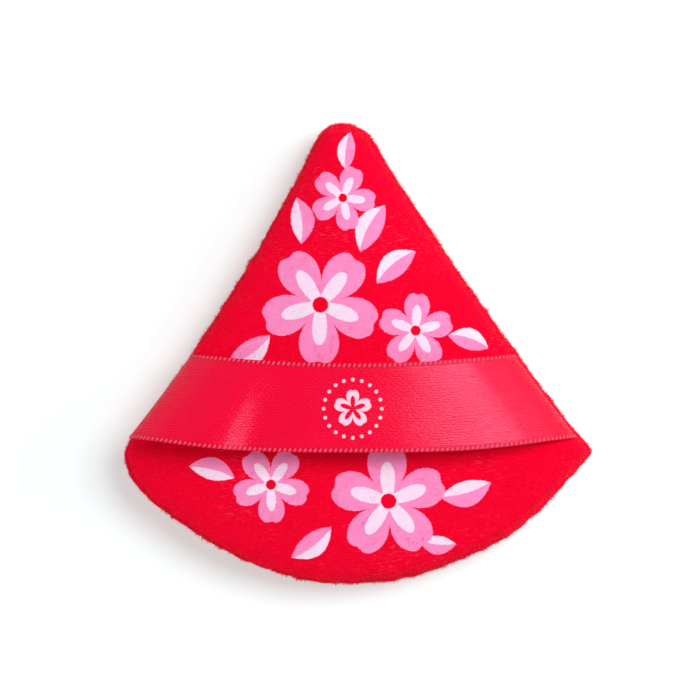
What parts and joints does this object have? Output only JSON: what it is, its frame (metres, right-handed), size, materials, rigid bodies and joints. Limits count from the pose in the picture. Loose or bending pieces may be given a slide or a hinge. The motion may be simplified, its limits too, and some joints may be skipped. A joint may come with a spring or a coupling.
{
  "type": "powder puff",
  "caption": "Padded velour powder puff, rounded sector in outline, with a satin finger ribbon sewn into its side seams.",
  "frame": {"origin": "middle of the bounding box at the plane the powder side rests on", "axes": "+Z away from the powder side, out of the ribbon side; +Y to the rounded apex; +X along the ribbon, to the sharp corner"},
  "size_m": [0.08, 0.0792, 0.0191],
  "materials": {
    "velour": "matte",
    "sponge": "matte",
    "satin_ribbon": "satin",
    "sewing_thread": "satin"
  },
  "bodies": {
    "puff": {"strap_side_cover": "velour", "powder_side_cover": "velour", "foam_core": "sponge", "seam_needle_thread": "sewing_thread", "seam_bobbin_thread": "sewing_thread", "closing_thread": "sewing_thread"},
    "strap": {"finger_ribbon": "satin_ribbon"}
  },
  "joints": [
    {"name": "strap_lift", "type": "slide", "parent": "puff", "child": "strap", "axis": [0, 0, 1], "range_m": [0, 0.008], "deforming": ["finger_ribbon"]}
  ]
}
